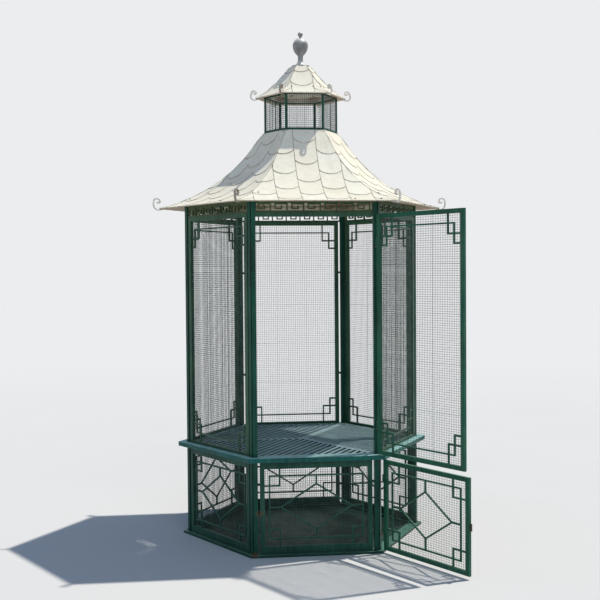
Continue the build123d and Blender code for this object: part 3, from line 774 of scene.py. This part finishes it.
class Tile:
    """One tile: its upper edge is hidden under the tile above, and its lower edge is a scallop.
    Places on it are given by u, from -1 at its left side to 1 at its right, and by the distance
    down the slope."""

    def __init__(self, profile, wall, column, bottom, length, scallop):
        self.profile = profile
        self.wall = wall
        self.half = (TILE_WIDTH - TILE_SEAM) / 2
        self.centre = TILE_SHIFT + column * TILE_WIDTH
        self.bend = (self.half ** 2 + scallop ** 2) / (2 * scallop)
        self.bottom = bottom
        self.bottom_above = bottom - length
        self.top = max(0.0, self.bottom_above - scallop - TILE_TUCK)
        past_start = max(self.bottom_above / profile.length - LAP_FADE_START, 0.0)
        self.lap_line_left = 1.0 - LAP_FADED_OFF * min(past_start / LAP_FADE_STRETCH, 1.0)
        self.tone = rng.uniform(*TILE_TONES)
        self.tilt = rng.uniform(-TILE_TILT, TILE_TILT)

    def edge(self, u, bottom):
        """Distance of a scalloped edge, from that of its lowest point."""
        rise = self.bend - math.sqrt(max(self.bend ** 2 - (u * self.half) ** 2, 0.0))
        return min(max(bottom - rise, 0.0), self.profile.length)

    def place(self, u, distance, stand):
        """Place in space, kept between the face's hips."""
        reach, height = self.profile.at(distance, stand)
        limit = max(reach, 0.0) * math.tan(HALF_SECTOR)
        x = min(max(self.centre + u * self.half, -limit), limit)
        return self.wall.at(x, height, reach)

    def top_place(self, u, distance):
        """Place on the tile's upper side, which rises off the sheet towards the lower edge."""
        span = max(self.edge(u, self.bottom) - self.top, TOUCHING)
        share = min(max((distance - self.top) / span, 0.0), 1.0)
        return self.place(u, distance, TILE_FOOT + (TILE_LAP + self.tilt * u - TILE_FOOT) * share)

    def line_down(self, u):
        """Places down the tile and their grime and painted shadow. A tile that has none above it has no dark
        lap.
        """
        above = self.edge(u, self.bottom_above)
        below = self.edge(u, self.bottom)
        clean = min(above + LAP_REACH, below)
        spots = [(min(self.top, above), 1.0)]
        spots += [(min(max(above + past, self.top), below), grime_and_shade) for past, grime_and_shade in LAP_SHADOW_AND_GRIME]
        spots += [(clean + (below - clean) * share, 0.0) for share in TILE_DOWN]
        lap_shadow_and_grime = self.lap_line_left if above > 0.0 else 0.0
        seam_grime = SEAM_GRIME if abs(u) == 1.0 else 0.0
        return [(self.top_place(u, d), max(grime_and_shade * lap_shadow_and_grime, seam_grime)) for d, grime_and_shade in spots]

    def lip(self, shape, spots, flipped=False):
        """Strip from an edge of the upper side down to the sheet."""
        # The lip is darkened with painted shade and grime
        upper = [shape.point(self.top_place(u, d), LIP_SHADE_AND_GRIME, self.tone) for u, d in spots]
        lower = [shape.point(self.place(u, d, 0.0), 1.0, self.tone) for u, d in spots]
        shape.grid([lower, upper] if flipped else [upper, lower], smooth=False)

    def add_to(self, shape):
        rows = [
            [shape.point(place, grime_and_shade, self.tone) for place, grime_and_shade in row]
            for row in zip(*(self.line_down(u) for u in TILE_ACROSS))
        ]
        shape.grid(rows)
        self.lip(shape, [(u, self.edge(u, self.bottom)) for u in TILE_ACROSS])
        for u in (-1.0, 1.0):
            span = self.edge(u, self.bottom) - self.top
            side = [(u, self.top + span * n / SIDE_STEPS) for n in range(SIDE_STEPS + 1)]
            self.lip(shape, side, flipped=u > 0)


def tiled_face(name, place, profile, first_bottom, length, scallop):
    """All the tiles of one face of a roof."""
    shape = Shape()
    wall = wall_facing(FACE_ANGLES[place])
    half_eave = profile.at(profile.length, 0.0).x * math.tan(HALF_SECTOR)
    columns = math.ceil((half_eave + abs(TILE_SHIFT)) / TILE_WIDTH)
    for column in range(-columns, columns + 1):
        bottom = first_bottom + (length / 2 if column % 2 else 0.0)
        while bottom - length - scallop < profile.length:
            Tile(profile, wall, column, bottom, length, scallop).add_to(shape)
            bottom += length
    shape.piece(name, tile_cream, FRAME_BODY, "roof_paint")


for place in FACE_ANGLES:
    tiled_face(
        f"roof_tiles_{place}", place, roof_profile, ROOF_FIRST_BOTTOM, ROOF_TILE_LENGTH, ROOF_SCALLOP,
    )
    tiled_face(f"cap_tiles_{place}", place, cap_profile, CAP_FIRST_BOTTOM, CAP_TILE_LENGTH, CAP_SCALLOP)


# Scrolls, rounder and thicker than the CAD's bars and inside the same outer edge

def hip_tip(profile):
    """Underside of a hip at its eave, as reach and height, and its slope there."""
    arm = (profile.eave - profile.centre) / profile.radius
    under = profile.eave + arm * SHEET_THICKNESS
    slope = math.atan(arm.x / arm.y * math.cos(HALF_SECTOR))
    return Vector((under.x / math.cos(HALF_SECTOR), under.y)), slope


def tangent_arc(path, end):
    """Goes on from a path's last place and heading, in an arc to a given end."""
    start, heading = path[-1]
    chord = end - start
    left = Vector((-heading.y, heading.x))
    centre = start + left * chord.length_squared / (2 * chord.dot(left))
    turn = 2 * math.atan2(chord.dot(left), chord.dot(heading))
    for n in range(1, ARC_STEPS + 1):
        spin = Matrix.Rotation(turn * n / ARC_STEPS, 2)
        path.append((centre + spin @ (start - centre), spin @ heading))


def scroll_path(tip, slope, size):
    """Places and headings along a scroll: foot, arc up, straight neck and two arcs back."""
    heading = Vector((math.cos(slope), -math.sin(slope)))
    below = Vector((heading.y, -heading.x))
    hollow = SCROLL_WIDTH / 2 * math.sin(HALF_SECTOR) * math.tan(slope)
    start = tip + below * (SCROLL_THICKNESS / 2 + SCROLL_SEAT_GAP + hollow)
    path = [(start - heading * SCROLL_FOOT * size, heading), (start, heading)]
    tangent_arc(path, tip + SCROLL_FAR_SIDE * size)
    place, heading = path[-1]
    path.append((place + heading * SCROLL_NECK * size, heading))
    tangent_arc(path, tip + SCROLL_NEAR_SIDE * size)
    tangent_arc(path, tip + SCROLL_END * size)
    return path


def squared(amount):
    """Bends a sine or cosine outwards, so that an oval section becomes a bar with rounded corners."""
    return math.copysign(math.sqrt(abs(amount)), amount)


def bar_ring(shape, wall, place, heading, thickness):
    """Ring of points round a bar whose outer edge stays in line as it thickens."""
    outer = Vector((heading.y, -heading.x))
    half = thickness / 2
    middle = place + outer * (SCROLL_THICKNESS / 2 - half)
    ring = []
    for a in full_turn(SCROLL_SIDES):
        spot = middle + outer * half * squared(math.cos(a))
        ring.append(shape.point(wall.at(SCROLL_WIDTH / 2 * squared(math.sin(a)), spot.y, spot.x)))
    return ring + ring[:1]


def scrolls(name, node, profile, size):
    """A scroll at each corner of a roof, in place of the CAD's node."""
    shape = Shape()
    path = scroll_path(*hip_tip(profile), size)
    for degrees in CORNER_ANGLES:
        wall = wall_facing(degrees)
        rows = []
        for n, (place, heading) in enumerate(path):
            growth = min(max(n - 1, 0) / ARC_STEPS, 1.0)
            thickness = SCROLL_THICKNESS + SCROLL_THICKENING * growth
            rows.append(bar_ring(shape, wall, place, heading, thickness))
        shape.grid(rows[::-1])
        shape.face(rows[0][:0:-1], smooth=False)
        shape.face(rows[-1][:-1], smooth=False)
    piece = shape.piece(name, pale, FRAME_BODY, "scroll_paint")
    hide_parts(node)


scrolls("eave_scrolls_curled", "eave_scrolls", roof_profile, 1.0)
scrolls("cap_scrolls_curled", "cap_scrolls", cap_profile, CAP_SCROLL_SIZE)


# Finial, turned smooth in place of the CAD's faceted one

def belly_arc(end_radius, belly, end):
    """Arc of the ball from its belly, where it is upright, to a narrower place above or below."""
    drop = end - belly
    narrowing = BALL_RADIUS - end_radius
    bend = (narrowing ** 2 + drop ** 2) / (2 * narrowing)
    turn = math.asin(max(-1.0, min(1.0, drop / bend)))
    angles = [turn * n / ARC_STEPS for n in range(ARC_STEPS + 1)]
    return [(BALL_RADIUS - bend + bend * math.cos(a), belly + bend * math.sin(a)) for a in angles]


def quarter_turn(steps):
    """Even angles up to a right angle, without the first, which is 0."""
    return [math.pi / 2 * n / steps for n in range(1, steps + 1)]


def finial_profile(foot, tip):
    """Outer line as (radius, height): flange, flared neck, cup, ball and knob."""
    rim_top = foot + FLANGE_RIM
    neck = foot + NECK_RISE
    ball_foot = foot + BALL_FOOT_RISE
    belly = ball_foot + BELLY_RISE
    flare = FLANGE_RADIUS - NECK_RADIUS
    cup = BALL_SEAT_RADIUS - NECK_RADIUS
    profile = [(0.0, foot), (FLANGE_RADIUS, foot), (FLANGE_RADIUS, rim_top)]
    for a in quarter_turn(FLARE_STEPS):
        profile.append((FLANGE_RADIUS - flare * math.sin(a), rim_top + (neck - rim_top) * (1 - math.cos(a))))
    for a in quarter_turn(CUP_STEPS)[:-1]:
        profile.append((NECK_RADIUS + cup * (1 - math.cos(a)), neck + (ball_foot - neck) * math.sin(a)))
    profile += reversed(belly_arc(BALL_SEAT_RADIUS, belly, ball_foot))
    profile += belly_arc(COLLAR_RADIUS, belly, ball_foot + CROWN_RISE)[1:]
    knob_level = tip - KNOB_RADIUS
    knob_start = math.asin(COLLAR_RADIUS / KNOB_RADIUS)
    for n in range(ARC_STEPS + 1):
        a = math.pi - (knob_start + (math.pi - knob_start) * n / ARC_STEPS)
        profile.append((KNOB_RADIUS * math.sin(a), knob_level + KNOB_RADIUS * math.cos(a)))
    return profile


turned = Shape()
turned.lathe(finial_profile(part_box("finial")[0].z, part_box("finial")[1].z))
finial = turned.piece("finial_turned", grey, FRAME_BODY, "finial_paint")
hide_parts("finial")


# Rivets near the eave of the cap, and bolts near the eave of the main roof

def stud(shape, centre, normal, radius, height):
    """Low round head on a surface."""
    rows = []
    for share in STUD_LEVELS:
        ring_radius = radius * math.cos(math.asin(share))
        rows.append(shape.ring(centre + normal * height * share, normal, ring_radius, STUD_SIDES, STUD_GRIME))
    shape.grid(rows)
    shape.face(rows[0][:-1])


def studded_roof(name, profile, studs, radius, height):
    """The same studs on every face of a roof, as one piece."""
    shape = Shape()
    stand = TILE_LAP - STUD_SINK
    for place in FACE_ANGLES:
        wall = wall_facing(FACE_ANGLES[place])
        for from_eave, across in studs:
            distance = profile.length - from_eave
            reach, level = profile.at(distance, stand)
            below = profile.at(distance + SLOPE_STEP, stand)
            slope = Vector((below.x - reach, below.y - level)).normalized()
            normal = wall.outwards * -slope.y + Vector((0, 0, slope.x))
            stud(shape, wall.at(across, level, reach), normal, radius, height)
    shape.piece(name, iron, FRAME_BODY, "roof_paint")


studded_roof("cap_rivets", cap_profile, CAP_RIVETS, CAP_RIVET_RADIUS, CAP_RIVET_HEIGHT)
studded_roof("roof_bolts", roof_profile, ROOF_BOLTS, ROOF_BOLT_RADIUS, ROOF_BOLT_HEIGHT)


# Stage, lights and camera

def stage_floor():
    """Wide pale ground, patchy near the gazebo and even far off."""
    mesh = bpy.data.meshes.new("floor")
    corners = [(x * FLOOR_HALF, y * FLOOR_HALF, 0.0) for x, y in ((-1, -1), (1, -1), (1, 1), (-1, 1))]
    mesh.from_pydata(corners, [], [(0, 1, 2, 3)])
    floor = bpy.data.objects.new("floor", mesh)
    bpy.context.scene.collection.objects.link(floor)
    s = Shade("floor_pale")
    patchy = s.range(s.near((0.0, 0.0, 0.0), FLOOR_NEAR), 0.0, 0.6)
    colour = s.mix(patchy, FLOOR_FAR, s.mix(s.noise(0.7, 3), FLOOR_DARK, FLOOR_PALE))
    mesh.materials.append(s.finish(colour, 0.9, gloss=0.0))


def sun(name, strength, angle, azimuth, elevation, colour):
    """Sun lamp that comes from an azimuth counted from the front, to the right, and an elevation."""
    data = bpy.data.lights.new(name, "SUN")
    data.energy = strength
    data.angle = math.radians(angle)
    data.color = colour
    lamp = bpy.data.objects.new(name, data)
    bpy.context.scene.collection.objects.link(lamp)
    a = math.radians(azimuth)
    e = math.radians(elevation)
    towards = Vector((math.sin(a) * math.cos(e), -math.cos(a) * math.cos(e), math.sin(e)))
    lamp.rotation_euler = towards.to_track_quat("Z", "Y").to_euler()


def studio_world():
    """Even sky, which looks paler to the camera and in the gloss than it lights the part."""
    world = bpy.data.worlds.new("studio")
    bpy.context.scene.world = world
    world.use_nodes = True
    nodes = world.node_tree.nodes
    links = world.node_tree.links
    path = nodes.new("ShaderNodeLightPath")
    seen = nodes.new("ShaderNodeMath")
    seen.operation = "MAXIMUM"
    links.new(path.outputs["Is Camera Ray"], seen.inputs[0])
    links.new(path.outputs["Is Glossy Ray"], seen.inputs[1])
    level = nodes.new("ShaderNodeMix")
    level.data_type = "RGBA"
    links.new(seen.outputs[0], level.inputs["Factor"])
    level.inputs["A"].default_value = WORLD_LIGHT
    level.inputs["B"].default_value = WORLD_SEEN
    links.new(level.outputs["Result"], nodes["Background"].inputs["Color"])


def add_camera():
    """The photograph's own view of the gazebo."""
    data = bpy.data.cameras.new("photo_camera")
    data.sensor_fit = "HORIZONTAL"
    data.sensor_width = CAMERA_SENSOR
    data.lens = CAMERA_LENS
    data.clip_end = CAMERA_REACH
    camera = bpy.data.objects.new("photo_camera", data)
    bpy.context.scene.collection.objects.link(camera)
    forward = CAMERA_AIM.normalized()
    right = forward.cross(Vector((0, 0, 1))).normalized()
    up = right.cross(forward)
    tilted_right = right * math.cos(CAMERA_ROLL) + up * math.sin(CAMERA_ROLL)
    tilted_up = up * math.cos(CAMERA_ROLL) - right * math.sin(CAMERA_ROLL)
    turn = Matrix((tilted_right, tilted_up, -forward)).transposed().to_4x4()
    camera.matrix_world = Matrix.Translation(CAMERA_PLACE) @ turn
    bpy.context.scene.camera = camera


stage_floor()
sun("key", strength=3.0, angle=1.2, azimuth=105, elevation=65, colour=(1.0, 0.962, 0.88))
sun("fill", strength=0.46, angle=50.0, azimuth=5, elevation=25, colour=(0.78, 0.93, 1.0))
studio_world()
add_camera()
bpy.context.scene.view_settings.view_transform = "Standard"
